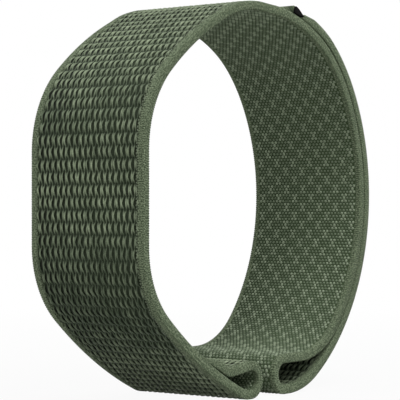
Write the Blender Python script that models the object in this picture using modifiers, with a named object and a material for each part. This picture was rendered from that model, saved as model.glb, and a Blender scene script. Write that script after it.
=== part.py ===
"""Hook and loop watch strap: one woven ribbon closed in an upright loop.

X runs across the loop, Y along the ribbon's width, Z up. The origin is at the
bottom centre of the strap's box. Metres.

The ribbon is a double cloth: a face ply of loop pile on the outside of the
loop, a lining ply on the inside and a woven selvedge along each edge. One end
is folded inward round the first lug position and sewn down. The other turns
outward round the second lug position and comes back as the tail, whose tab
carries the hook patch.
"""
import math

import bmesh
import bpy
from mathutils import Vector

# Ribbon: its width and thickness, its selvedges, and the gaps between pieces that lie together
BAND_WIDTH = 0.022
BAND_THICKNESS = 0.0015
SELVEDGE_WIDTH = 0.0010
SELVEDGE_ROUND = 0.0003
PLY_ROUND = 0.00012
PLY_GAP = 0.0002
SEAT_GAP = 0.0002
JOINT_GAP = 0.0003

# Main band's side view, clockwise from the fixed end's foot: up the left side, over the top, down the right
FOOT_FLAT = 0.0008
FOOT_RADIUS = 0.0040
FOOT_TURN_DEG = 23.0
LOWER_LEFT_RADIUS = 0.0717
LOWER_LEFT_TURN_DEG = 18.3
LEFT_CORNER_RADIUS = 0.0148
UPPER_LEFT_RADIUS = 0.0168
UPPER_LEFT_TURN_DEG = 48.0
CROWN_SIDE_RADIUS = 0.0515
CROWN_SIDE_TURN_DEG = 17.3
CROWN_RADIUS = 0.0306
CROWN_TURN_DEG = 33.9
SHOULDER_RADIUS = 0.0268
SHOULDER_TURN_DEG = 49.4
RIGHT_SIDE_RADIUS = 0.0328
RIGHT_SIDE_TURN_DEG = 73.0
LOWER_RIGHT_RADIUS = 0.0142
LOWER_RIGHT_TURN_DEG = 48.4

# Fixed end: its fold, the slope of the eyelet's upper wall, the crease and the length that is sewn down
FIXED_FOLD_RADIUS = 0.00225
FIXED_WALL_SLOPE_DEG = 7.0
CREASE_RADIUS = 0.0022
SEWN_LENGTH = 0.0075

# Lug fold and tail: the tail is free from where it meets the loop, and the tab starts a little before its patch
LUG_FOLD_RADIUS = 0.00250
LUG_FOOT_FLAT = 0.0012
FOLD_GAP = 0.0029
TAB_LEAD = 0.0053
TAIL_OVER_SHOULDER_DEG = 38.6

# Hook patch: moulded backing with rows of leaning hooks, in place of the pile at the tab's end
PATCH_LENGTH = 0.0175
PATCH_SETBACK = 0.0006
PATCH_BACKING = 0.00030
HOOK_PITCH = 0.0015
HOOK_STEM = 0.00030
HOOK_STEM_HEIGHT = 0.00020
HOOK_HEAD_HEIGHT = 0.00014
HOOK_LEAN = 0.00022

# Tip: a moulded core past the fabric's end, with a strip of the ribbon's fabric over its back and end
TIP_LENGTH = 0.0016
TIP_THICKNESS = 0.00080
TIP_ROUND = 0.00015
COVER_THICKNESS = 0.00030
COVER_INSET = 0.0007
COVER_BEND = 0.00035
COVER_ROUND = 0.00008

# Seams: a zigzag tack on the sewn end and a line of thread round the hook patch
THREAD_RADIUS = 0.00016
THREAD_GAP = 0.00005
TACK_MARGIN = 0.0020
TACK_STITCH = 0.0011
TACK_DEPTH = 0.0016
TACK_SETBACK = 0.0012
PATCH_SEAM_INSET = 0.0010

# Facets
ARC_STEP_DEG = 9.0
LONG_STEP = 0.0026

# Sizes that follow from those above
LAYER_STEP = BAND_THICKNESS + SEAT_GAP
HALF_BAND = BAND_THICKNESS / 2
PLY_EDGE = PLY_GAP / 2
CLOTH_WIDTH = BAND_WIDTH - 2 * (SELVEDGE_WIDTH + PLY_GAP)
SELVEDGE_AT = (BAND_WIDTH - SELVEDGE_WIDTH) / 2


class Route:
    """A chain of straight and round stretches of the ribbon's middle line, in the X-Z plane."""

    def __init__(self, point, heading):
        self.stretches = []
        self.length = 0.0
        self.point = Vector(point)
        self.heading = heading

    def straight(self, length):
        self.stretches.append((self.length, length, self.point, self.heading, 0.0))
        return self.advance(length)

    def bend(self, radius, turn):
        """Turn by an angle in radians: a positive angle turns left."""
        length = radius * abs(turn)
        self.stretches.append((self.length, length, self.point, self.heading, math.copysign(1.0, turn) / radius))
        return self.advance(length)

    def advance(self, length):
        self.length += length
        self.point, self.heading = self.locate(self.length)
        return self

    def locate(self, distance):
        """The point on the middle line and the heading there."""
        for start, length, point, heading, curvature in self.stretches:
            if distance <= start + length:
                break
        along = distance - start
        if curvature == 0.0:
            return point + ahead(heading) * along, heading
        turned = heading + curvature * along
        return point + (left_of(heading) - left_of(turned)) / curvature, turned

    def move(self, shift):
        self.stretches = [(s, length, point + shift, h, k) for s, length, point, h, k in self.stretches]
        self.point = self.point + shift

    def beside(self, distance, offset):
        """A point beside the middle line: a positive offset lies to the left."""
        point, heading = self.locate(distance)
        return point + left_of(heading) * offset

    def stations(self, first, last):
        """Distances from first to last, close together where the ribbon bends."""
        marks = [first]
        for start, length, point, heading, curvature in self.stretches:
            low, high = max(first, start), min(last, start + length)
            if high <= low:
                continue
            turn = math.degrees(abs(curvature) * (high - low))
            by_length = (high - low) / LONG_STEP if turn else 0.0
            steps = max(1, math.ceil(turn / ARC_STEP_DEG), math.ceil(by_length))
            marks += [low + (high - low) * k / steps for k in range(1, steps + 1)]
        return marks


def ahead(heading):
    return Vector((math.cos(heading), math.sin(heading)))


def left_of(heading):
    return Vector((-math.sin(heading), math.cos(heading)))


def circle_centre(stretch):
    """The centre of a round stretch."""
    start, length, point, heading, curvature = stretch
    return point + left_of(heading) / curvature


def band_route(left_side, lug_run):
    """The main band from the fixed end's foot to the lug fold, with its two seats for the layers on it."""
    route = Route((0.0, 0.0), math.pi)
    route.straight(FOOT_FLAT)
    route.bend(FOOT_RADIUS, -math.radians(FOOT_TURN_DEG))
    route.bend(LOWER_LEFT_RADIUS, -math.radians(LOWER_LEFT_TURN_DEG))
    inner_seat = route.stretches[-1]
    route.bend(LEFT_CORNER_RADIUS, -math.radians(90.0 - FOOT_TURN_DEG - LOWER_LEFT_TURN_DEG))
    route.straight(left_side)
    route.bend(UPPER_LEFT_RADIUS, -math.radians(UPPER_LEFT_TURN_DEG))
    route.bend(CROWN_SIDE_RADIUS, -math.radians(CROWN_SIDE_TURN_DEG))
    route.bend(CROWN_RADIUS, -math.radians(CROWN_TURN_DEG))
    route.bend(SHOULDER_RADIUS, -math.radians(SHOULDER_TURN_DEG))
    route.bend(RIGHT_SIDE_RADIUS, -math.radians(RIGHT_SIDE_TURN_DEG))
    outer_seat = route.stretches[-1]
    route.bend(LOWER_RIGHT_RADIUS, -math.radians(LOWER_RIGHT_TURN_DEG))
    route.straight(lug_run)
    return route, inner_seat, outer_seat


def level_band():
    """The band with its left side and lug run cut so that both feet stand level, side by side."""
    bare = band_route(0.0, 0.0)[0]
    fold_centre_x = FIXED_FOLD_RADIUS + BAND_THICKNESS + FOLD_GAP + LUG_FOLD_RADIUS
    turn_in = left_of(bare.heading) * LUG_FOLD_RADIUS
    run = (fold_centre_x - turn_in.x - bare.point.x) / math.cos(bare.heading)
    fold_centre_z = bare.point.y + math.sin(bare.heading) * run + turn_in.y
    return band_route(LUG_FOLD_RADIUS - fold_centre_z, run)


def fixed_end_route(seat):
    """From the fixed end's foot round its fold, along the eyelet's upper wall and up the band's inner side."""
    route = Route((0.0, 0.0), 0.0)
    route.bend(FIXED_FOLD_RADIUS, math.radians(180.0 + FIXED_WALL_SLOPE_DEG))
    seat_radius = LOWER_LEFT_RADIUS - LAYER_STEP
    crease = route.point - left_of(route.heading) * CREASE_RADIUS - circle_centre(seat)
    along = ahead(route.heading).dot(crease)
    reach = (seat_radius - CREASE_RADIUS) ** 2 - crease.length_squared
    wall = math.sqrt(along ** 2 + reach) - along
    route.straight(wall)
    crease += ahead(route.heading) * wall
    route.bend(CREASE_RADIUS, math.atan2(-crease.x, crease.y) - route.heading)
    route.bend(seat_radius, -SEWN_LENGTH / seat_radius)
    return route


def tail_route(band, seat):
    """Round the lug fold, out along the foot, up to the band's outer side and along it to the tip."""
    route = Route(band.point, band.heading)
    route.bend(LUG_FOLD_RADIUS, -band.heading)
    route.straight(LUG_FOOT_FLAT)
    seat_radius = RIGHT_SIDE_RADIUS + LAYER_STEP
    out = route.point - circle_centre(seat)
    sweep = (seat_radius ** 2 - out.length_squared) / (2 * (out.y + seat_radius))
    toward = out + left_of(route.heading) * sweep
    landing = math.atan2(toward.x, -toward.y)
    route.bend(sweep, landing)
    meets_band = math.pi + seat[3] - math.radians(RIGHT_SIDE_TURN_DEG)
    route.bend(seat_radius, meets_band - landing)
    free_from = route.length
    route.bend(seat_radius, math.radians(RIGHT_SIDE_TURN_DEG))
    route.bend(SHOULDER_RADIUS + LAYER_STEP, math.radians(TAIL_OVER_SHOULDER_DEG))
    fabric_end = route.length
    route.straight(SEAT_GAP + TIP_LENGTH + COVER_THICKNESS)
    return route, free_from, fabric_end


def new_collection(name):
    collection = bpy.data.collections.new(name)
    bpy.context.scene.collection.children.link(collection)
    return collection


def plain_material(name, colour, roughness):
    material = bpy.data.materials.new(name)
    material.use_nodes = True
    shader = material.node_tree.nodes["Principled BSDF"]
    shader.inputs["Base Color"].default_value = (*colour, 1.0)
    shader.inputs["Roughness"].default_value = roughness
    shader.inputs["Metallic"].default_value = 0.0
    return material


def add(name, data, material, parent=None):
    """A part of the strap. Curves lie in their own X-Y plane, so they are stood up in the X-Z plane."""
    part = bpy.data.objects.new(name, data)
    parts.objects.link(part)
    data.materials.append(material)
    if isinstance(data, bpy.types.Curve):
        part.rotation_euler.x = math.pi / 2
    if parent:
        part.parent = parent
        part.matrix_parent_inverse = parent.matrix_world.inverted()
    return part


def poly_curve(name, points, cyclic=False):
    """A curve of straight steps; points are (x, z) in the side view, or (x, z, -y)."""
    curve = bpy.data.curves.new(name, "CURVE")
    curve.dimensions = "3D"
    spline = curve.splines.new("POLY")
    spline.points.add(len(points) - 1)
    for point, place in zip(spline.points, points):
        point.co = (*place, 0.0, 1.0) if len(place) == 2 else (*place, 1.0)
    spline.use_cyclic_u = cyclic
    return curve


def section(name, low, high, width, rounding):
    """The ribbon's cut face between two offsets from the middle line: a rectangle with rounded corners."""
    points = []
    for x, across, inward in ((-high, 1, 1), (-low, 1, -1), (-low, -1, -1), (-high, -1, 1)):
        on_side = (x, across * (width / 2 - rounding))
        on_edge = (x + inward * rounding, across * width / 2)
        points += [on_side, on_edge] if across == inward else [on_edge, on_side]
    guide = bpy.data.objects.new(name, poly_curve(name, points, cyclic=True))
    guides.objects.link(guide)
    guide.hide_render = True
    guide.display_type = "WIRE"
    return guide


def ribbon(name, route, first, last, guide, material, y=0.0, parent=None):
    """A stretch of one layer of the ribbon: its section swept along the route."""
    points = [route.locate(distance)[0] for distance in route.stations(first, last)]
    curve = poly_curve(name, points)
    curve.twist_mode = "Z_UP"
    curve.bevel_mode = "OBJECT"
    curve.bevel_object = guide
    curve.use_fill_caps = True
    part = add(name, curve, material, parent)
    part.location.y = y
    return part


def cloth(prefix, route, first, last, pile_side=1, parent=None, pile_to=None):
    """The four layers of a stretch of ribbon: pile face, lining and two selvedges."""
    pile, lining, edge = sections[pile_side]
    if pile_to is None or pile_to > first:
        ribbon(prefix + "_face_ply", route, first, pile_to or last, pile, pile_cloth, parent=parent)
    ribbon(prefix + "_lining_ply", route, first, last, lining, lining_cloth, parent=parent)
    ribbon(prefix + "_near_selvedge", route, first, last, edge, selvedge_cloth, -SELVEDGE_AT, parent)
    ribbon(prefix + "_far_selvedge", route, first, last, edge, selvedge_cloth, SELVEDGE_AT, parent)


def thread(name, points, material, cyclic=False, parent=None):
    """A sewing thread through points (x, y, z)."""
    curve = poly_curve(name, [(x, z, -y) for x, y, z in points], cyclic)
    curve.bevel_depth = THREAD_RADIUS
    curve.bevel_resolution = 1
    curve.use_fill_caps = not cyclic
    return add(name, curve, material, parent)


def hinge_axis(name, route, distance):
    """A hinge across the ribbon, on the lining side, which is outermost on the tail."""
    place = route.beside(distance, -HALF_BAND)
    axis = bpy.data.objects.new(name, None)
    axis.location = (place.x, 0.0, place.y)
    parts.objects.link(axis)
    bpy.context.view_layer.update()
    return axis


def wrapped(mesh, route, first, name):
    """Bend a flat sheet, X along the ribbon and Z toward the pile side, onto the route."""
    for vertex in mesh.verts:
        place = route.beside(first + vertex.co.x, vertex.co.z)
        vertex.co = (place.x, vertex.co.y, place.y)
    data = bpy.data.meshes.new(name)
    mesh.to_mesh(data)
    mesh.free()
    return data


def hook_patch(route, first, parent):
    """A backing slab with a hook on each square: an upright stem and a head that leans along the ribbon."""
    rows = round(PATCH_LENGTH / HOOK_PITCH)
    columns = round(CLOTH_WIDTH / HOOK_PITCH)
    mesh = bmesh.new()
    bmesh.ops.create_grid(mesh, x_segments=rows, y_segments=columns, size=0.5)
    bmesh.ops.scale(mesh, vec=(PATCH_LENGTH, CLOTH_WIDTH, 1.0), verts=mesh.verts)
    bmesh.ops.translate(mesh, vec=(PATCH_LENGTH / 2, 0.0, PLY_EDGE + PATCH_BACKING), verts=mesh.verts)
    squares = mesh.faces[:]
    under = bmesh.ops.duplicate(mesh, geom=squares)["geom"]
    bmesh.ops.reverse_faces(mesh, faces=[part for part in under if isinstance(part, bmesh.types.BMFace)])
    lower = [part for part in under if isinstance(part, bmesh.types.BMVert)]
    bmesh.ops.translate(mesh, vec=(0.0, 0.0, -PATCH_BACKING), verts=lower)
    bmesh.ops.bridge_loops(mesh, edges=[edge for edge in mesh.edges if edge.is_boundary])
    bmesh.ops.recalc_face_normals(mesh, faces=mesh.faces)
    bmesh.ops.inset_individual(mesh, faces=squares, thickness=(HOOK_PITCH - HOOK_STEM) / 2)
    for rise, lean in ((HOOK_STEM_HEIGHT, 0.0), (HOOK_HEAD_HEIGHT, HOOK_LEAN)):
        squares = bmesh.ops.extrude_discrete_faces(mesh, faces=squares)["faces"]
        tops = [vertex for face in squares for vertex in face.verts]
        bmesh.ops.translate(mesh, vec=(lean, 0.0, rise), verts=tops)
    return add("hook_patch", wrapped(mesh, route, first, "hook_patch"), hook_plastic, parent)


def fixed_end_tack(route):
    """A zigzag of thread across the sewn end, on its pile face."""
    lift = -(HALF_BAND + THREAD_GAP + THREAD_RADIUS)
    reach = BAND_WIDTH / 2 - TACK_MARGIN
    count = round(2 * reach / TACK_STITCH)
    points = []
    for stitch in range(count + 1):
        place = route.beside(route.length - TACK_SETBACK - TACK_DEPTH * (stitch % 2), lift)
        points.append((place.x, 2 * reach * stitch / count - reach, place.y))
    return thread("fixed_end_tack", points, thread_colour)


def hook_patch_seam(route, first, last, parent):
    """A closed line of stitching round the hook patch, on the tab's outside."""
    lift = -(HALF_BAND + THREAD_GAP + THREAD_RADIUS)
    half = CLOTH_WIDTH / 2 - PATCH_SEAM_INSET
    line = [route.beside(distance, lift) for distance in route.stations(first, last)]
    points = [(place.x, -half, place.y) for place in line]
    points += [(place.x, half, place.y) for place in reversed(line)]
    return thread("hook_patch_seam", points, thread_colour, cyclic=True, parent=parent)


def tip(route, first, parent):
    """A moulded core past the fabric's end, and a strip of fabric over its back and end."""
    place = route.beside(first + TIP_LENGTH / 2, HALF_BAND - TIP_THICKNESS / 2)
    mesh = bmesh.new()
    bmesh.ops.create_cube(mesh, size=1.0)
    bmesh.ops.scale(mesh, vec=(TIP_LENGTH, BAND_WIDTH, TIP_THICKNESS), verts=mesh.verts)
    data = bpy.data.meshes.new("tip_core")
    mesh.to_mesh(data)
    mesh.free()
    core = add("tip_core", data, tip_plastic)
    core.location = (place.x, 0.0, place.y)
    core.rotation_euler.y = -route.locate(first)[1]
    rounding = core.modifiers.new("Rounded edges", "BEVEL")
    rounding.width = TIP_ROUND
    rounding.segments = 2
    bpy.context.view_layer.update()
    core.parent = parent
    core.matrix_parent_inverse = parent.matrix_world.inverted()
    outside = HALF_BAND - TIP_THICKNESS - SEAT_GAP - COVER_THICKNESS / 2
    path = Route(route.beside(first, outside), route.locate(first)[1])
    path.straight(TIP_LENGTH + SEAT_GAP + COVER_THICKNESS / 2 - COVER_BEND)
    path.bend(COVER_BEND, math.pi / 2)
    path.straight(TIP_THICKNESS + SEAT_GAP + COVER_THICKNESS / 2 - COVER_BEND)
    guide = section("tip_cover_section", -COVER_THICKNESS / 2, COVER_THICKNESS / 2,
                    BAND_WIDTH - 2 * COVER_INSET, COVER_ROUND)
    ribbon("tip_cover", path, 0.0, path.length, guide, selvedge_cloth, parent=parent)


for old in list(bpy.data.objects):
    bpy.data.objects.remove(old)

parts = new_collection("hook_and_loop_watch_strap")
guides = new_collection("ribbon_sections")

pile_cloth = plain_material("pile_cloth", (0.100, 0.130, 0.090), 0.9)
lining_cloth = plain_material("lining_cloth", (0.090, 0.110, 0.080), 0.85)
selvedge_cloth = plain_material("selvedge_cloth", (0.125, 0.155, 0.105), 0.8)
thread_colour = plain_material("thread", (0.110, 0.140, 0.095), 0.7)
hook_plastic = plain_material("hook_plastic", (0.060, 0.075, 0.050), 0.5)
tip_plastic = plain_material("tip_plastic", (0.006, 0.006, 0.006), 0.45)

# Routes, moved so that the origin is at the bottom centre of the strap's box
band, inner_seat, outer_seat = level_band()
fixed_end = fixed_end_route(inner_seat)
tail, swing_at, fabric_end = tail_route(band, outer_seat)
outline = [route.beside(distance, offset)
           for route in (band, fixed_end, tail) for offset in (-HALF_BAND, HALF_BAND)
           for distance in route.stations(0.0, route.length)]
middle_x = (min(place.x for place in outline) + max(place.x for place in outline)) / 2
bottom = min(place.y for place in outline)
for route in (band, fixed_end, tail):
    route.move(Vector((-middle_x, -bottom)))

# Sections of the ribbon's layers, for a route with the pile on its left (1) or on its right (-1)
sections = {}
for side, word in ((1, "left"), (-1, "right")):
    pile = sorted((side * PLY_EDGE, side * HALF_BAND))
    lining = sorted((-side * PLY_EDGE, -side * HALF_BAND))
    sections[side] = (
        section("pile_section_" + word, *pile, CLOTH_WIDTH, PLY_ROUND),
        section("lining_section_" + word, *lining, CLOTH_WIDTH, PLY_ROUND),
        section("selvedge_section_" + word, -HALF_BAND, HALF_BAND, SELVEDGE_WIDTH, SELVEDGE_ROUND))

# The band, and its fixed end folded inward and sewn down
half_gap = JOINT_GAP / 2
cloth("band", band, half_gap, band.length - half_gap)
cloth("fixed_end", fixed_end, half_gap, fixed_end.length, pile_side=-1)
fixed_end_tack(fixed_end)

# The lug fold, then the tail in three stretches that hinge on each other
patch_from = fabric_end - PATCH_SETBACK - PATCH_LENGTH
peel_at = patch_from - TAB_LEAD
flex_at = (swing_at + peel_at) / 2
cloth("lug_fold", tail, half_gap, swing_at - half_gap)
swing = hinge_axis("tail_swing_axis", tail, swing_at)
flex = hinge_axis("tail_flex_axis", tail, flex_at)
peel = hinge_axis("tab_peel_axis", tail, peel_at)
cloth("tail_lower", tail, swing_at + half_gap, flex_at - half_gap, parent=swing)
cloth("tail_middle", tail, flex_at + half_gap, peel_at - half_gap, parent=flex)

# The tab, with the hook patch in place of its pile, the patch's seam and the tip
cloth("tab", tail, peel_at + half_gap, fabric_end, parent=peel, pile_to=patch_from - PLY_GAP)
hook_patch(tail, patch_from, peel)
hook_patch_seam(tail, patch_from + PATCH_SEAM_INSET, fabric_end - PATCH_SETBACK - PATCH_SEAM_INSET, peel)
tip(tail, fabric_end + SEAT_GAP, peel)
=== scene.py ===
import math

import bmesh
import bpy
import numpy as np
from mathutils import Matrix, Vector


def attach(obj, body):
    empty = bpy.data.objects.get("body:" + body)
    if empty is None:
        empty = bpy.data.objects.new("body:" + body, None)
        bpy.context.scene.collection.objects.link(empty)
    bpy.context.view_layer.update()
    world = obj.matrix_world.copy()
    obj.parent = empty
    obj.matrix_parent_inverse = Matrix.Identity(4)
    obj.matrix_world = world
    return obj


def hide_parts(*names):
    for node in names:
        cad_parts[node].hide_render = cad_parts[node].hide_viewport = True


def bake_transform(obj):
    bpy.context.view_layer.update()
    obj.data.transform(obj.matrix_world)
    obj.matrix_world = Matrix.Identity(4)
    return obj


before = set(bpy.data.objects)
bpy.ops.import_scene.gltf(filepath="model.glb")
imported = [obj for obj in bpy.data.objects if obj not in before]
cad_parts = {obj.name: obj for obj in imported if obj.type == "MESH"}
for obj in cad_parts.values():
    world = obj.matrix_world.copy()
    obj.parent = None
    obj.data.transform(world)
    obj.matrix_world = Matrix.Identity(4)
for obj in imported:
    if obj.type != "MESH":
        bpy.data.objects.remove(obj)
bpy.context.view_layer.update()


def put_in(name, data):
    """A new object with this data, in the scene."""
    made = bpy.data.objects.new(name, data)
    bpy.context.scene.collection.objects.link(made)
    return made


# Camera
# A long lens at half the loop's height, to the left of its near edge, so that the pile face shows on the left
# and the lining on the right.
CAMERA_AT = Vector((-0.22468, -0.16612, 0.02968))
AIMED_AT = Vector((-0.00241, 0.0, 0.02976))
camera = put_in("camera", bpy.data.cameras.new("camera"))
camera.location = CAMERA_AT
camera.rotation_euler = (AIMED_AT - CAMERA_AT).to_track_quat("-Z", "Y").to_euler()
camera.data.lens = 154.3
camera.data.shift_x = -0.00676
camera.data.shift_y = 0.02518
camera.data.clip_start = 0.01
bpy.context.scene.camera = camera


class Amount:
    """A socket of a material, so that sums over a surface are written as plain sums."""

    def __init__(self, finish, socket):
        self.finish = finish
        self.socket = socket

    def sum(self, operation, first, second):
        return self.finish.node("ShaderNodeMath", {"operation": operation}, {0: first, 1: second})

    def __add__(self, other):
        return self.sum("ADD", self, other)

    __radd__ = __add__

    def __sub__(self, other):
        return self.sum("SUBTRACT", self, other)

    def __mul__(self, other):
        return self.sum("MULTIPLY", self, other)


class Finish:
    """A finish that is put together node by node, for a material or for the studio's light."""

    def __init__(self, name, owner=None):
        self.owner = owner or bpy.data.materials.new(name)
        self.owner.use_nodes = True
        self.tree = self.owner.node_tree
        self.shader = self.tree.nodes.get("Principled BSDF")

    def node(self, kind, settings, inputs, output=0):
        made = self.tree.nodes.new(kind)
        for name, value in settings.items():
            setattr(made, name, value)
        for name, value in inputs.items():
            self.feed(made.inputs[name], value)
        return Amount(self, made.outputs[output])

    def feed(self, socket, value):
        if isinstance(value, Amount):
            self.tree.links.new(value.socket, socket)
        else:
            socket.default_value = value

    def cloth_noise(self, *drawn, **inputs):
        """Noise over the flat ribbon, which may be drawn out along and across it."""
        where = self.node("ShaderNodeUVMap", {"uv_map": "ribbon"}, {})
        if drawn:
            where = self.node("ShaderNodeMapping", {}, {"Vector": where, "Scale": (*drawn, 1.0)})
        return self.node("ShaderNodeTexNoise", {"noise_dimensions": "2D"}, {"Vector": where, **inputs})

    def solid_noise(self, **inputs):
        """Noise through the whole of a piece."""
        where = self.node("ShaderNodeTexCoord", {}, {}, output=3)
        return self.node("ShaderNodeTexNoise", {}, {"Vector": where, **inputs})

    def tone(self):
        """How light each yarn is, painted shade and painted light included, as kept on the cloth."""
        return self.node("ShaderNodeAttribute", {"attribute_name": "tone"}, {}, output=2)

    def bump(self, strength, distance, height):
        return self.node("ShaderNodeBump", {}, {"Strength": strength, "Distance": distance, "Height": height})

    def mixed(self, share, first, second):
        return self.node("ShaderNodeMix", {"data_type": "RGBA"}, {0: share, 6: first, 7: second}, output=2)

    def surface(self, **inputs):
        for name, value in inputs.items():
            self.feed(self.shader.inputs[name.replace("_", " ").title().replace("Ior", "IOR")], value)
        return self.owner


# Studio
# A pale floor under a white room, lit by one large soft lamp at the upper left. The floor looks white to the
# camera and still takes a soft shadow.
BACKGROUND_RAYS = ("Is Camera Ray", "Is Glossy Ray", "Is Transmission Ray")
floor_mesh = bmesh.new()
bmesh.ops.create_grid(floor_mesh, x_segments=1, y_segments=1, size=3.0)
floor_data = bpy.data.meshes.new("floor")
floor_mesh.to_mesh(floor_data)
floor_mesh.free()
floor = put_in("floor", floor_data)
paper = Finish("white_paper")
seen = sum(paper.node("ShaderNodeLightPath", {}, {}, output=ray) for ray in BACKGROUND_RAYS)
spot = paper.node("ShaderNodeTexCoord", {}, {}, output=3)
away = paper.node("ShaderNodeVectorMath", {"operation": "LENGTH"}, {0: spot}, output=1)
fade = paper.node("ShaderNodeMapRange", {}, {"Value": away, "From Min": 0.03, "From Max": 0.25, "To Min": 0.94})
glow = paper.node("ShaderNodeEmission", {}, {"Color": (1.0, 1.0, 1.0, 1.0), "Strength": 1.0})
matt = paper.surface(base_color=(0.50, 0.50, 0.49, 1.0), roughness=0.9)
lit = paper.node("ShaderNodeMixShader", {}, {0: seen * fade, 1: Amount(paper, paper.shader.outputs[0]), 2: glow})
paper.feed(paper.tree.nodes["Material Output"].inputs["Surface"], lit)
floor_data.materials.append(matt)

room = Finish("room", bpy.data.worlds.new("room"))
bpy.context.scene.world = room.owner
bpy.context.scene.view_settings.view_transform = "Standard"
view = sum(room.node("ShaderNodeLightPath", {}, {}, output=ray) for ray in BACKGROUND_RAYS)
soft = room.node("ShaderNodeBackground", {}, {"Color": (1.0, 1.0, 1.0, 1.0), "Strength": 0.56})
white = room.node("ShaderNodeBackground", {}, {"Color": (1.0, 1.0, 1.0, 1.0), "Strength": 1.0})
sky = room.node("ShaderNodeMixShader", {}, {0: view, 1: soft, 2: white})
room.feed(room.tree.nodes["World Output"].inputs["Surface"], sky)

lamp = put_in("soft_lamp", bpy.data.lights.new("soft_lamp", "AREA"))
lamp.location = (-0.09, -0.36, 0.72)
lamp.rotation_euler = (Vector((0.0, 0.0, 0.03)) - lamp.location).to_track_quat("-Z", "Y").to_euler()
lamp.data.size = 0.5
lamp.data.energy = 4.0


class Line:
    """The ribbon's middle line seen from its edge, from the sewn end to the tip, with the pile on its left."""

    def __init__(self, x, z, heading):
        self.runs = []
        self.reach = 0.0
        self.x, self.z, self.heading = x, z, math.radians(heading)

    def straight(self, length):
        return self.run(length, 0.0)

    def bend(self, radius, turn):
        return self.run(radius * math.radians(abs(turn)), math.radians(turn))

    def run(self, length, turn):
        self.runs.append((self.reach, self.x, self.z, self.heading, turn / length))
        self.reach += length
        self.x, self.z = (float(value) for value in self.beside(self.reach, 0.0))
        self.heading += turn
        return self.reach

    def beside(self, along, up):
        """X and Z at a distance along the ribbon and a height above its middle, toward the pile."""
        start, x, z, heading, curve = np.array(self.runs).T
        run = np.clip(np.searchsorted(start, along, side="right") - 1, 0, len(start) - 1)
        gone = along - start[run]
        half = curve[run] * gone / 2
        chord = gone * np.sinc(half / np.pi)
        faces = heading[run] + 2 * half
        return (x[run] + chord * np.cos(heading[run] + half) - up * np.sin(faces),
                z[run] + chord * np.sin(heading[run] + half) + up * np.cos(faces))

    def place(self, along):
        x, z = self.beside(along, 0.0)
        return Vector((float(x), 0.0, float(z)))


# Pile ground
# The body of the ribbon's outer face: dark nylon picks, woven across the ribbon, that hold the pile yarns down.
# It runs from the sewn end round both lug folds to the hook patch, along the line below.
line = Line(-0.01684264, 0.00865, -33.43147)
line.bend(0.0700, 6.13883)
line.bend(0.0022, 34.29263)
line.straight(0.00493063)
foot = line.bend(0.00225, -187.0)
line.straight(0.0008)
line.bend(0.0040, -23.0)
line.bend(0.0717, -18.3)
line.bend(0.0148, -48.7)
line.straight(0.01415202)
line.bend(0.0168, -48.0)
line.bend(0.0515, -17.3)
crown = line.bend(0.0306, -33.9)
line.bend(0.0268, -49.4)
line.bend(0.0328, -73.0)
line.bend(0.0142, -48.4)
lug = line.straight(0.00482910)
line.bend(0.0025, 180.0)
line.straight(0.0012)
line.bend(0.01511902, 32.03342)
swing = line.bend(0.0345, 16.36658)
line.bend(0.0345, 73.0)
fabric_end = line.bend(0.0285, 38.6)
line.straight(0.0021)
PATCH_LENGTH = 0.0181
PATCH_GAP = 0.0001
PEEL_LEAD = 0.0053
patch_from = fabric_end - PATCH_LENGTH
peel = patch_from - PEEL_LEAD
flex = (swing + peel) / 2
HINGE_REACH = 0.0030
FOLD_BEFORE = 0.0004
FOLD_AFTER = 0.0048
STRETCHES = {
    "fixed_end": (0.0, foot),
    "band_left": (foot, crown),
    "band_right": (crown, lug),
    "lug_fold": (lug, swing - HINGE_REACH),
    "tail_lower": (swing - HINGE_REACH, flex - HINGE_REACH),
    "tail_middle": (flex - HINGE_REACH, peel - HINGE_REACH),
    "tab": (peel - HINGE_REACH, fabric_end),
}
HINGES = {
    "tail_lower": ("loop", "tail_lower", swing),
    "tail_middle": ("tail_lower", "tail_middle", flex),
    "tab": ("tail_middle", "tab", peel),
}


def carry(piece, stretch, layer):
    """A piece of cloth takes its node's place and moves with the loop's body, or, past a hinge, stays where it is
    laid.
    """
    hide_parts(stretch.removesuffix("_left").removesuffix("_right") + layer)
    if stretch not in HINGES:
        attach(piece, "loop")
    else:
        before, after, at = HINGES[stretch]
        line.place(at - FOLD_BEFORE)
        line.place(at + FOLD_AFTER)
        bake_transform(piece)


def mark_cloth(mesh, along, across, tone):
    """Keep where each corner lies on the flat ribbon, in millimetres, and how light its yarn is, painted shade and
    light included.
    """
    flat = mesh.uv_layers.new(name="ribbon")
    corners = np.empty(len(mesh.loops), int)
    mesh.loops.foreach_get("vertex_index", corners)
    flat.data.foreach_set("uv", np.column_stack((along[corners], across[corners])).ravel() * 1000)
    light = mesh.attributes.new("tone", "FLOAT", "POINT")
    light.data.foreach_set("value", np.broadcast_to(tone, along.shape).astype(np.float32))


def eased(along, start, end):
    """0 up to the start, 1 from the end on, and smooth between them."""
    share = np.clip((along - start) / (end - start), 0.0, 1.0)
    return share ** 2 * (3 - 2 * share)


HALF_THICK = 0.00075
PRESSED_LENGTH = 0.0062
PRESSED_DOWN = 0.00055
PRESSED_SHARE = 0.70
WORN_LENGTH = 0.0036
WORN_DEPTH = 0.00055
WORN_PAST = 0.0002
CLOTH_PAST = 0.00005
TAB_LOWERED_LENGTH = 0.0100
TAB_LOWERED = 0.00052
RAISED = 0.00018
RAISED_AT = crown - 0.0135
RAISED_SPAN = (-0.0055, -0.0015, 0.0015, 0.0055)
LOWERED = 0.00036
LOWERED_SPAN = (-0.0090, -0.0040, 0.0040, 0.0160)


def hump(along, rise_from, rise_to, fall_from, fall_to):
    """1 between the rise and the fall, and 0 beyond them."""
    return eased(along, rise_from, rise_to) - eased(along, fall_from, fall_to)


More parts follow.
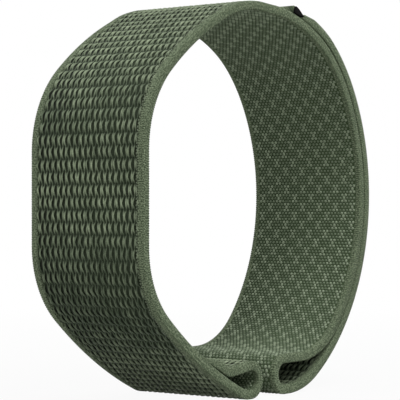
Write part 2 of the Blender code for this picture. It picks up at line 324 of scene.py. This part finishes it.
def pressed(along, up):
    """Heights with the sewn end pressed thin, the tab's end thinned and pressed down, and the crown a little
    higher before the tab and lower beside it."""
    thin = eased(along, PRESSED_LENGTH, 0.0)
    up = -HALF_THICK - PRESSED_DOWN * thin + (up + HALF_THICK) * (1 - PRESSED_SHARE * thin)
    worn = eased(along, fabric_end - WORN_LENGTH, fabric_end + WORN_PAST) * (along < fabric_end + CLOTH_PAST)
    up = up + np.clip(-up, 0.0, HALF_THICK) / HALF_THICK * WORN_DEPTH * worn
    up = up + TAB_LOWERED * eased(along, fabric_end - TAB_LOWERED_LENGTH, fabric_end)
    return up + RAISED * hump(along - RAISED_AT, *RAISED_SPAN) - LOWERED * hump(along - crown, *LOWERED_SPAN)


def lay(flat, name, material, tone=lambda along, across: 0.5):
    """Lay a flat piece, X along the ribbon, Y across and Z toward the pile, on the strap's line."""
    mesh = bpy.data.meshes.new(name)
    flat.to_mesh(mesh)
    flat.free()
    places = np.empty(3 * len(mesh.vertices))
    mesh.vertices.foreach_get("co", places)
    along, across, up = places.reshape(-1, 3).T
    mark_cloth(mesh, along, across + up, tone(along, across))
    x, z = line.beside(along, pressed(along, up))
    mesh.vertices.foreach_set("co", np.column_stack((x, across, z)).ravel())
    mesh.polygons.foreach_set("use_smooth", np.ones(len(mesh.polygons), bool))
    mesh.update()
    mesh.materials.append(material)
    return put_in(name, mesh)


def meshed(curve):
    """The mesh of a curve's round tubes, without the curve."""
    bent = put_in(curve.name, curve)
    mesh = bpy.data.meshes.new_from_object(bent.evaluated_get(bpy.context.evaluated_depsgraph_get()))
    bpy.data.objects.remove(bent)
    mesh.materials.clear()
    return mesh


CUT_STEP = 0.0005


def slab(first, last, low, high, half_width):
    """A flat strip between two heights, as wide on both sides, and cut across often enough to bend."""
    flat = bmesh.new()
    bmesh.ops.create_cube(flat, size=1.0)
    bmesh.ops.scale(flat, vec=(last - first, 2 * half_width, high - low), verts=flat.verts)
    bmesh.ops.translate(flat, vec=((first + last) / 2, 0.0, (low + high) / 2), verts=flat.verts)
    lengthwise = [edge for edge in flat.edges if abs(edge.verts[0].co.x - edge.verts[1].co.x) > CUT_STEP]
    bmesh.ops.subdivide_edges(flat, edges=lengthwise, cuts=round((last - first) / CUT_STEP), use_grid_fill=True)
    return flat


GROUND_LOW, GROUND_HIGH = -0.00005, 0.00042
GROUND_SIDE = 0.00985
ground_cloth = Finish("pile_ground")
weave = ground_cloth.cloth_noise(6.0, 1.5, Scale=1.0)
# The ground's colour is dark cloth made darker still, as painted shade in the gaps between the pile yarns.
ground_colour_and_shade = ground_cloth.mixed(weave, (0.008, 0.015, 0.005, 1.0), (0.028, 0.044, 0.018, 1.0))
ground_bump = ground_cloth.bump(0.6, 0.0001, weave)
pile_ground = ground_cloth.surface(base_color=ground_colour_and_shade, roughness=0.9, normal=ground_bump)
for stretch, (first, last) in STRETCHES.items():
    end = patch_from - PATCH_GAP if stretch == "tab" else last
    flat = slab(first, end, GROUND_LOW, GROUND_HIGH, GROUND_SIDE)
    piece = lay(flat, stretch + "_pile_ground", pile_ground)
    carry(piece, stretch, "_face_ply")

# Pile yarns
# Soft nylon yarns that run along the outer face. Two neighbours lie together over each row, then part and join
# the yarns on their other sides over the next row; a pick ties them down between rows. Some rows carry painted
# shade and others painted light, as the light falls on the loop's bends, and each yarn has painted shade where
# it dips between rows.
YARNS = 37
YARN_STEP = 0.000533
YARN_SIDE = -0.0000665
YARN_RADIUS = 0.00015
ROW = 0.001886
ROWS = 200
ROW_POINTS = 8
ROW_START = foot + 0.00191
ROW_AT_START = 20
SWAY = 0.00018
YARN_HIGH = 0.00067
TIED_LOW = 0.00030
CROSSED_LOW = 0.00040
SHIFT = 0.00008
SHIFT_BY_SLIP = 0.25
PHASE_BY_SLIP = 0.05
SWAY_SPREAD = 0.25
TWIST_SPREAD = 0.40
SWELL_POWER = 0.9
THICK_TIED, THICK_RISE, THICK_BY_SLIP = 0.72, 0.24, 0.08
CROSSED_DIP_SHADE = 0.15
DIP_SHADE_POWER = 1.3
TONE_LEAST, TONE_BY_ROW, TONE_BY_SLIP = 0.40, 0.45, 0.15
chance = np.random.RandomState(7)
# Painted shade and painted light by row: negative values darken rows where the loop's bends are in shade, positive
# ones lighten rows that face the light.
SHADED_ROWS = (20, 26, 29, 32, 35, 38, 40, 43, 45, 48, 50, 53, 56, 61)
ROW_PAINTED_SHADES = (0.5, 0.4, -0.8, -1.25, -0.6, -0.65, 0.05, 0.6, 0.3, -0.3, -0.35, 0.0, 0.4, 0.1)
row_painted_shade = np.interp(np.arange(ROWS), SHADED_ROWS, ROW_PAINTED_SHADES)
row_tone_and_shade = chance.uniform(0.0, 1.0, (ROWS, YARNS + 2)) + row_painted_shade[:, None]
row_shift, row_width, row_twist, yarn_slip = chance.uniform(-1.0, 1.0, (4, ROWS, YARNS + 2))


def pile_yarns(name, first, last, material):
    """The yarns of one stretch, as round tubes, swaying sideways from row to row."""
    first_mark, last_mark = ((end - ROW_START) / ROW * ROW_POINTS for end in (first, last))
    marks = np.arange(math.floor(first_mark) + 1, math.ceil(last_mark)) / ROW_POINTS
    along = np.concatenate(([first], ROW_START + marks * ROW, [last]))
    count = len(along) - 1
    rows = (along - ROW_START) / ROW + ROW_AT_START
    row = np.floor(rows + 0.0001).astype(int)
    tied = np.round(rows) % 2 == 0
    curve = bpy.data.curves.new(name, "CURVE")
    curve.dimensions = "3D"
    curve.bevel_depth = YARN_RADIUS
    curve.bevel_resolution = 1
    tones = []
    for yarn in range(YARNS):
        pair = (yarn + row % 2) // 2
        slip = np.interp(rows, np.arange(ROWS), yarn_slip[:, yarn])
        phase = rows + PHASE_BY_SLIP * slip
        swell = np.abs(np.sin(np.pi * phase))
        sway = np.sin(np.pi * phase) * (1 + SWAY_SPREAD * row_width[row, pair])
        sway = (sway if yarn % 2 else -sway) + TWIST_SPREAD * row_twist[row, pair] * np.sin(2 * np.pi * rows)
        across = YARN_SIDE + (yarn - (YARNS - 1) / 2) * YARN_STEP + SWAY * sway
        across = across + SHIFT * (row_shift[row, pair] * swell ** 2 + SHIFT_BY_SLIP * slip)
        low = np.where(tied, TIED_LOW, CROSSED_LOW)
        up = low + (YARN_HIGH - SHIFT / 2 * np.abs(slip) - low) * swell ** SWELL_POWER
        x, z = line.beside(along, pressed(along, up))
        spline = curve.splines.new("POLY")
        spline.points.add(count)
        spline.points.foreach_set("co", np.column_stack((x, across, z, np.ones(count + 1))).ravel())
        spline.points.foreach_set("radius", THICK_TIED + (THICK_RISE + THICK_BY_SLIP * slip) * swell)
        # Painted shade: each yarn's colour goes darker where it dips down between rows, to its darkest where a pick
        # ties it.
        dip_shade = np.where(tied, swell, CROSSED_DIP_SHADE + (1 - CROSSED_DIP_SHADE) * swell) ** DIP_SHADE_POWER
        light = TONE_LEAST + TONE_BY_ROW * row_tone_and_shade[row, pair] + TONE_BY_SLIP * slip
        tones.append((across, dip_shade * light))
    mesh = meshed(curve)
    sides = len(mesh.vertices) // (YARNS * len(along))
    across, tone = (np.repeat(np.concatenate(values), sides) for values in zip(*tones))
    mark_cloth(mesh, np.repeat(np.tile(along, YARNS), sides), across, tone)
    tubes = bmesh.new()
    tubes.from_mesh(mesh)
    bmesh.ops.holes_fill(tubes, edges=[edge for edge in tubes.edges if edge.is_boundary])
    tubes.to_mesh(mesh)
    tubes.free()
    mesh.materials.append(material)
    return put_in(name, mesh)


yarn_finish = Finish("pile_yarn")
fibre = yarn_finish.cloth_noise(1.6, 22.0, Detail=3.0)
patchy = yarn_finish.cloth_noise(Scale=0.18)
lightness = yarn_finish.tone() * 0.85 + fibre * 0.60 + patchy * 0.25 - 0.42
yarn_shade = yarn_finish.mixed(lightness, (0.052, 0.077, 0.040, 1.0), (0.370, 0.445, 0.287, 1.0))
yarn_bump = yarn_finish.bump(0.5, 0.00005, fibre)
pile_yarn = yarn_finish.surface(base_color=yarn_shade, roughness=0.6, normal=yarn_bump, sheen_weight=0.1,
                                specular_ior_level=0.25)
for stretch, (first, last) in STRETCHES.items():
    end = patch_from - 2 * PATCH_GAP if stretch == "tab" else last
    piece = pile_yarns(stretch + "_pile_yarns", first, end, pile_yarn)
    carry(piece, stretch, "_face_ply")

# Lining ground
# The body of the ribbon's inner face: a close knit of dark green yarn that lies against the wrist. It is one cloth
# with the pile ground and runs on under the hook patch to the end of the tab.
LINING_LOW = -0.00066
LINING_SIDE = 0.0103
lining_dark = Finish("lining_ground")
knit = lining_dark.cloth_noise(Scale=5.0)
dark_shade = lining_dark.mixed(knit, (0.036, 0.058, 0.025, 1.0), (0.080, 0.116, 0.060, 1.0))
dark_bump = lining_dark.bump(0.5, 0.0001, knit)
lining_ground = lining_dark.surface(base_color=dark_shade, roughness=0.9, normal=dark_bump, specular_ior_level=0.2)
for stretch, (first, last) in STRETCHES.items():
    piece = lay(slab(first, last, LINING_LOW, 0.0, LINING_SIDE), stretch + "_lining_ground", lining_ground)
    carry(piece, stretch, "_lining_ply")

# Lining loops
# The knitted lining's loops: small round stitches in staggered rows. Every few stitches a lighter yarn comes to the
# face in a small cross of five.
LOOPS = 29
LOOPS_BESIDE = 13
LOOP_STEP = 0.000684
LOOP_ROW = 0.0005385
LOOP_START = 0.004072
LOOP_SIDE = -0.00084
LOOP_SIZE = (0.00028, 0.00028, 0.00016)
LOOP_UP = -0.00063
CROSS_ROWS, CROSS_COLUMNS = 3, 5
CROSS_SIZE, KNIT_SIZE = 1.08, 0.96
CROSS_DRAWN = 1.3
CROSS_TONE, KNIT_TONE, TONE_SPREAD = 0.62, 0.20, 0.22
# Painted shade on the lining's stitches toward the lug.
LUG_PAINTED_SHADE = 0.12
LUG_SHADE_FROM, LUG_SHADE_TO = lug - 0.045, lug - 0.025
STITCH_SIDES = 8
STITCH_RINGS = 3
STITCH_POINTS = STITCH_SIDES * (STITCH_RINGS - 1) + 2


def crossed(row, column):
    """Whether a stitch belongs to a cross of five: one in the middle and four at its corners."""
    cross_row = np.round(row / CROSS_ROWS)
    half = CROSS_COLUMNS / 2
    beside = (column - half * (cross_row % 2) + half) % CROSS_COLUMNS - half
    from_row = np.abs(row - CROSS_ROWS * cross_row)
    return ((from_row == 0) & (np.abs(beside) < 0.4)) | ((from_row == 1) & (np.abs(np.abs(beside) - 0.5) < 0.4))


def loop_lightness(along, across):
    """Lighter where a stitch belongs to a cross, a little different from stitch to stitch, and with painted shade
    toward the lug.
    """
    along, across = along.reshape(-1, STITCH_POINTS).mean(1), across.reshape(-1, STITCH_POINTS).mean(1)
    light = crossed(np.round((along - LOOP_START) / LOOP_ROW), (across - LOOP_SIDE) / LOOP_STEP)
    tone = np.where(light, CROSS_TONE, KNIT_TONE) + chance.uniform(0.0, TONE_SPREAD, len(light))
    return np.repeat(tone - LUG_PAINTED_SHADE * eased(along, LUG_SHADE_FROM, LUG_SHADE_TO), STITCH_POINTS)


def repeated(unit, *repeats):
    """A flat piece repeated a number of times at a step, once for each count and step."""
    data = bpy.data.meshes.new("unit")
    unit.to_mesh(data)
    unit.free()
    pieces = put_in("unit", data)
    for count, step in repeats:
        repeat = pieces.modifiers.new("repeat", "ARRAY")
        repeat.use_relative_offset = False
        repeat.use_constant_offset = True
        repeat.constant_offset_displace = step
        repeat.count = count
    bpy.context.view_layer.update()
    flat = bmesh.new()
    flat.from_object(pieces, bpy.context.evaluated_depsgraph_get())
    bpy.data.objects.remove(pieces)
    return flat


def stitch(flat, place, size):
    """One small rounded stitch."""
    made = bmesh.ops.create_uvsphere(flat, u_segments=STITCH_SIDES, v_segments=STITCH_RINGS, radius=1.0)["verts"]
    bmesh.ops.scale(flat, vec=size, verts=made)
    bmesh.ops.translate(flat, vec=place, verts=made)
    return flat


def lining_loops(first, last):
    """Rows of stitches laid flat, every second row half a stitch aside and the stitches of the crosses larger."""
    low = math.ceil((first - LOOP_START) / LOOP_ROW)
    rows = math.ceil((last - LOOP_START) / LOOP_ROW) - low
    side = LOOP_SIDE - LOOPS_BESIDE * LOOP_STEP
    one = stitch(bmesh.new(), (LOOP_START + low * LOOP_ROW, side, LOOP_UP), LOOP_SIZE)
    flat = repeated(one, (LOOPS, (0.0, LOOP_STEP, 0.0)), (rows, (LOOP_ROW, 0.0, 0.0)))
    points = flat.verts[:]
    for count in range(LOOPS * rows):
        row, column = low + count // LOOPS, count % LOOPS
        middle = Vector((LOOP_START + row * LOOP_ROW, side + column * LOOP_STEP, LOOP_UP))
        aside = row % 2 / 2
        size = CROSS_SIZE if crossed(row, column - LOOPS_BESIDE + aside) else KNIT_SIZE
        drawn = CROSS_DRAWN if size == CROSS_SIZE and row % CROSS_ROWS == 0 else 1.0
        for point in points[STITCH_POINTS * count:STITCH_POINTS * (count + 1)]:
            shape = (point.co - middle) * size * Vector((drawn, 1.0, 1.0))
            point.co = middle + shape + Vector((0.0, aside * LOOP_STEP, 0.0))
    return flat


loop_finish = Finish("lining_yarn")
twist = loop_finish.cloth_noise(Scale=9.0)
loop_tone = loop_finish.tone() + twist * 0.3 - 0.15
loop_shade = loop_finish.mixed(loop_tone, (0.104, 0.144, 0.080, 1.0), (0.380, 0.450, 0.315, 1.0))
loop_bump = loop_finish.bump(0.5, 0.00004, twist)
lining_yarn = loop_finish.surface(base_color=loop_shade, roughness=0.75, normal=loop_bump, sheen_weight=0.1,
                                  specular_ior_level=0.3)
for stretch, (first, last) in STRETCHES.items():
    piece = lay(lining_loops(first, last), stretch + "_lining_loops", lining_yarn, loop_lightness)
    carry(piece, stretch, "_lining_ply")

# Selvedges
# The ribbon's two woven edges: a smooth, close band of fine yarn that wraps round the cut sides of both plies and
# keeps them together.
selvedge_finish = Finish("selvedge")
fleck = selvedge_finish.cloth_noise(6.5, 3.4, Scale=1.0, Detail=1.0)
cloud = selvedge_finish.solid_noise(Scale=500.0)
edge_tone = fleck * 5.6 + cloud * 0.6 + selvedge_finish.tone() * 0.60 - 3.12
edge_shade = selvedge_finish.mixed(edge_tone, (0.060, 0.086, 0.045, 1.0), (0.235, 0.290, 0.180, 1.0))
edge_bump = selvedge_finish.bump(0.8, 0.00008, fleck)
selvedge_cloth = selvedge_finish.surface(base_color=edge_shade, roughness=0.8, normal=edge_bump, sheen_weight=0.05,
                                         specular_ior_level=0.25)
SELVEDGE_WIDTH = 0.00105
SELVEDGE_MIDDLE = 0.010475
SELVEDGE_ROUND = 0.00023
FLANGE_FROM = 0.0001
FLANGE_WIDTH = 0.00025
RIB = 0.00036
RIB_CUTS = 6
RIB_RISE = 0.00004
RIB_SLANT = 0.25
RIB_MIDDLE = 0.0103
# Painted light on the selvedge's inner side, where it turns over the cloth, against the shade that falls there.
TURN_FROM, TURN_TO = 0.0109, 0.0106
TURN_PAINTED_LIGHT = 0.45


def lengthwise_edges(flat):
    """The edges that run along the ribbon."""
    return [edge for edge in flat.edges if abs(edge.verts[0].co.x - edge.verts[1].co.x) > 0.001]


def selvedge(first, last, side):
    """A rounded bar with a flange over the pile's edge, ribbed where the fine yarn goes round it."""
    flat = bmesh.new()
    bmesh.ops.create_cube(flat, size=1.0)
    bmesh.ops.scale(flat, vec=(last - first, SELVEDGE_WIDTH, 2 * HALF_THICK), verts=flat.verts)
    bmesh.ops.translate(flat, vec=((first + last) / 2, side * SELVEDGE_MIDDLE, 0.0), verts=flat.verts)
    everything = flat.verts[:] + flat.edges[:] + flat.faces[:]
    bmesh.ops.bisect_plane(flat, geom=everything, plane_co=(0.0, 0.0, FLANGE_FROM), plane_no=(0.0, 0.0, 1.0))
    inner = [face for face in flat.faces
             if face.normal.y * side < -0.5 and face.calc_center_median().z > FLANGE_FROM]
    flange = bmesh.ops.extrude_face_region(flat, geom=inner)["geom"]
    bmesh.ops.delete(flat, geom=inner, context="FACES_ONLY")
    bmesh.ops.translate(flat, vec=(0.0, -side * FLANGE_WIDTH, 0.0),
                        verts=[part for part in flange if isinstance(part, bmesh.types.BMVert)])
    corners = [edge for edge in lengthwise_edges(flat) if abs(edge.verts[0].co.z) > 0.9 * HALF_THICK]
    bmesh.ops.bevel(flat, geom=corners, offset=SELVEDGE_ROUND, offset_type="OFFSET", affect="EDGES", segments=4,
                    profile=0.5, material=-1)
    cuts = round((last - first) / (RIB / RIB_CUTS)) - 1
    bmesh.ops.subdivide_edges(flat, edges=lengthwise_edges(flat), cuts=cuts, use_grid_fill=True)
    for vertex in flat.verts:
        place = vertex.co
        turn = math.cos(2 * math.pi * place.x / RIB)
        out = Vector((0.0, place.y - side * RIB_MIDDLE, place.z)).normalized()
        vertex.co = place + out * RIB_RISE * (turn - 1) + Vector((RIB_SLANT * place.z, 0.0, 0.0))
    return flat


def rib_shade_and_light(along, across):
    """Painted light on each rib and painted shade in the groove beside it, and painted light where the selvedge
    turns over the cloth.
    """
    return 0.5 + 0.5 * np.cos(2 * np.pi * along / RIB) + TURN_PAINTED_LIGHT * eased(np.abs(across), TURN_FROM, TURN_TO)


for stretch, (first, last) in STRETCHES.items():
    for side, name in ((-1, "near"), (1, "far")):
        flat = selvedge(first, last, side)
        piece = lay(flat, stretch + "_" + name + "_edge", selvedge_cloth, rib_shade_and_light)
        carry(piece, stretch, "_" + name + "_selvedge")

# Edge stitches
# A column of small light stitches along each side of the pile, where the selvedge yarn catches the outermost pile
# yarns down.
EDGE_SIDES = (-0.00968, 0.00985)
EDGE_LEAD = 0.00015
EDGE_STITCHES = ((0.0, 0.0, 0.00066, (0.00017, 0.00017, 0.00010)),
                 (ROW / 4, 0.00010, 0.00064, (0.00021, 0.00013, 0.00009)))
for stretch, (first, last) in STRETCHES.items():
    end = patch_from if stretch == "tab" else last
    both = bmesh.new()
    for across in EDGE_SIDES:
        for ahead, aside, up, size in EDGE_STITCHES:
            stitch(both, (first + EDGE_LEAD + ahead, across + aside, up), size)
    flat = repeated(both, (math.floor((end - first) / (ROW / 2)), (ROW / 2, 0.0, 0.0)))
    piece = lay(flat, stretch + "_edge_stitches", pile_yarn, lambda along, across: 0.45)
    carry(piece, stretch, "_face_ply")

# Fixed end's tack
# A dense zigzag of polyester thread right across the ribbon. It sews the folded end down to the band, through both
# layers, and closes the left eyelet.
thread_finish = Finish("sewing_thread")
plies = thread_finish.solid_noise(Scale=9000.0)
thread_shade = thread_finish.mixed(plies, (0.060, 0.085, 0.045, 1.0), (0.200, 0.245, 0.155, 1.0))
thread_bump = thread_finish.bump(0.5, 0.00003, plies)
thread = thread_finish.surface(base_color=thread_shade, roughness=0.55, normal=thread_bump)
TACK_STITCHES = 46
TACK_POINTS = 4
TACK_FROM = 0.0012
TACK_REACH = 0.0016
TACK_WIDTH = 0.018
THREAD_HIGH = 0.00110
THREAD_SUNK = 0.00030
THREAD_RADIUS = 0.00009
zigzag = bpy.data.curves.new("fixed_end_zigzag", "CURVE")
zigzag.dimensions = "3D"
zigzag.bevel_depth = THREAD_RADIUS
zigzag.bevel_resolution = 2
zigzag.use_fill_caps = True
spline = zigzag.splines.new("POLY")
spline.points.add(TACK_POINTS * TACK_STITCHES)
for count, point in enumerate(spline.points):
    swing_over = abs((count / TACK_POINTS) % 2 - 1)
    along = TACK_FROM + TACK_REACH * swing_over
    x, z = line.beside(along, pressed(along, THREAD_HIGH - THREAD_SUNK * (2 * swing_over - 1) ** 4))
    across = TACK_WIDTH * count / (TACK_POINTS * TACK_STITCHES) - TACK_WIDTH / 2
    point.co = (float(x), across, float(z), 1.0)
tack_mesh = meshed(zigzag)
tack_mesh.materials.append(thread)
tack = put_in("fixed_end_zigzag", tack_mesh)
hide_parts("fixed_end_tack")
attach(tack, "loop")

# Hook patch
# Injection-moulded nylon hooks on a thin backing, sewn over the end of the tab in place of the pile. They face the
# band and grip its yarns.
hook_finish = Finish("hook_plastic")
flow = hook_finish.solid_noise(Scale=900.0, Detail=3.0)
hook_shade = hook_finish.mixed(flow, (0.045, 0.058, 0.036, 1.0), (0.080, 0.100, 0.064, 1.0))
hook_bump = hook_finish.bump(0.2, 0.00003, flow)
hook_plastic = hook_finish.surface(base_color=hook_shade, roughness=0.4 + flow * 0.2, normal=hook_bump)
PATCH_SIDE = 0.0098
BACKING_SHORT = 0.0006
BACKING_LOW, BACKING_HIGH = 0.00008, 0.00036
HOOK_STEP = 0.00072
HOOKS_ACROSS, HOOKS_ALONG = 27, 23
HOOK_RADIUS = 0.00011
HOOK_MARGIN = 0.0004
HOOK_ROOT = 0.00030
HOOK_BENDS = ((0.0, 0.00018, 0.0, 0.85), (0.00003, 0.00009, 30.0, 0.95), (0.00008, 0.00006, 40.0, 0.95),
              (0.00009, -0.00001, 40.0, 0.9), (0.00004, -0.00008, 40.0, 0.8))
backing = slab(patch_from, fabric_end - BACKING_SHORT, BACKING_LOW, BACKING_HIGH, PATCH_SIDE)
backing_piece = lay(backing, "hook_backing", hook_plastic)
hook = bmesh.new()
ring = bmesh.ops.create_circle(hook, cap_ends=True, segments=6, radius=HOOK_RADIUS)["verts"]
bmesh.ops.translate(hook, vec=(patch_from + HOOK_MARGIN, HOOK_MARGIN - PATCH_SIDE, HOOK_ROOT), verts=ring)
top = hook.faces[:]
for lean, rise, tilt, shrink in HOOK_BENDS:
    grown = bmesh.ops.extrude_face_region(hook, geom=top)["geom"]
    top = [part for part in grown if isinstance(part, bmesh.types.BMFace)]
    ring = [part for part in grown if isinstance(part, bmesh.types.BMVert)]
    middle = sum((vertex.co for vertex in ring), Vector()) / len(ring)
    bmesh.ops.rotate(hook, verts=ring, cent=middle, matrix=Matrix.Rotation(math.radians(tilt), 3, "Y"))
    bmesh.ops.scale(hook, vec=(shrink,) * 3, verts=ring, space=Matrix.Translation(-middle))
    bmesh.ops.translate(hook, vec=(lean, 0.0, rise), verts=ring)
bmesh.ops.recalc_face_normals(hook, faces=hook.faces)
hooks = repeated(hook, (HOOKS_ACROSS, (0.0, HOOK_STEP, 0.0)), (HOOKS_ALONG, (HOOK_STEP, 0.0, 0.0)))
hook_piece = lay(hooks, "hook_rows", hook_plastic)
for piece in (backing_piece, hook_piece):
    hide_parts("hook_patch")
    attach(piece, "tab")

# Hook patch's seam
# A line of lockstitch in matching thread, 1 mm inside the patch's edges. It goes through the tab's cloth and shows
# on the tab's outer face.
STITCHES_LONG, STITCHES_SHORT = 15, 16
SEAM_SIDE = 0.0088
SEAM_UP = -0.00080
SEAM_START, SEAM_END = patch_from + 0.0010, fabric_end - 0.0016
LENGTHWAYS, CROSSWAYS = (0.00047, 0.00013, 0.00010), (0.00013, 0.00047, 0.00010)
seam = bmesh.new()
for count in range(STITCHES_LONG):
    along = SEAM_START + (SEAM_END - SEAM_START) * (count + 0.5) / STITCHES_LONG
    for across in (-SEAM_SIDE, SEAM_SIDE):
        stitch(seam, (along, across, SEAM_UP), LENGTHWAYS)
for count in range(STITCHES_SHORT):
    across = 2 * SEAM_SIDE * (count + 0.5) / STITCHES_SHORT - SEAM_SIDE
    for along in (SEAM_START, SEAM_END):
        stitch(seam, (along, across, SEAM_UP), CROSSWAYS)
seam_piece = lay(seam, "hook_patch_stitches", thread)
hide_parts("hook_patch_seam")
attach(seam_piece, "tab")

# Tip
# A moulded black nylon stiffener at the very end of the tab, to lift it by. A strip of selvedge cloth lies over its
# back and is turned down over its end.
tip_finish = Finish("tip_plastic")
grain = tip_finish.solid_noise(Scale=2500.0, Detail=3.0)
tip_shade = tip_finish.mixed(grain, (0.002, 0.002, 0.002, 1.0), (0.006, 0.006, 0.006, 1.0))
tip_bump = tip_finish.bump(0.15, 0.00003, grain)
tip_plastic = tip_finish.surface(base_color=tip_shade, roughness=0.55 + grain * 0.2, normal=tip_bump,
                                 specular_ior_level=0.06)
TAPER_LENGTH = 0.0019
TAPER_OUTSIDE, TAPER_INSIDE = 0.00060, 0.00048
TIP_FROM = fabric_end - 0.0002
TIP_LENGTH = 0.0027
TIP_LOW, TIP_HIGH = -0.00045, 0.00078
TIP_SIDE = 0.0110
TIP_ROUND = 0.00015
COVER_OVER = 0.00015
COVER_LOW, COVER_HIGH = -0.00048, -0.00030
COVER_SIDE = 0.0106
COVER_TURN = 0.0010
COVER_LAST = 0.0002


def tapered(flat):
    """Thin the end by the cloth from both sides, so that the tip stands up from the tab's thin end as a wedge."""
    for vertex in flat.verts:
        share = min(1.0, max(0.0, (fabric_end + TAPER_LENGTH - vertex.co.x) / TAPER_LENGTH))
        vertex.co.z += TAPER_OUTSIDE * share if vertex.co.z < 0.0 else -TAPER_INSIDE * share
    return flat


core = tapered(slab(TIP_FROM, fabric_end + TIP_LENGTH, TIP_LOW, TIP_HIGH, TIP_SIDE))
sharp = [edge for edge in core.edges if edge.is_manifold and edge.calc_face_angle() > 1.0]
bmesh.ops.bevel(core, geom=sharp, offset=TIP_ROUND, offset_type="OFFSET", affect="EDGES", segments=3,
                profile=0.5, material=-1)
core_piece = lay(core, "tip_stiffener", tip_plastic)
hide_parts("tip_core")
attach(core_piece, "tab")
cover = tapered(slab(TIP_FROM, fabric_end + TIP_LENGTH + COVER_OVER, COVER_LOW, COVER_HIGH, COVER_SIDE))
underside = [face for face in cover.faces
             if face.normal.z > 0.5 and face.calc_center_median().x > fabric_end + TIP_LENGTH - COVER_LAST]
turned = bmesh.ops.extrude_face_region(cover, geom=underside)["geom"]
bmesh.ops.delete(cover, geom=underside, context="FACES_ONLY")
bmesh.ops.translate(cover, vec=(0.0, 0.0, COVER_TURN),
                    verts=[part for part in turned if isinstance(part, bmesh.types.BMVert)])
cover_piece = lay(cover, "tip_cloth", selvedge_cloth)
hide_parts("tip_cover")
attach(cover_piece, "tab")
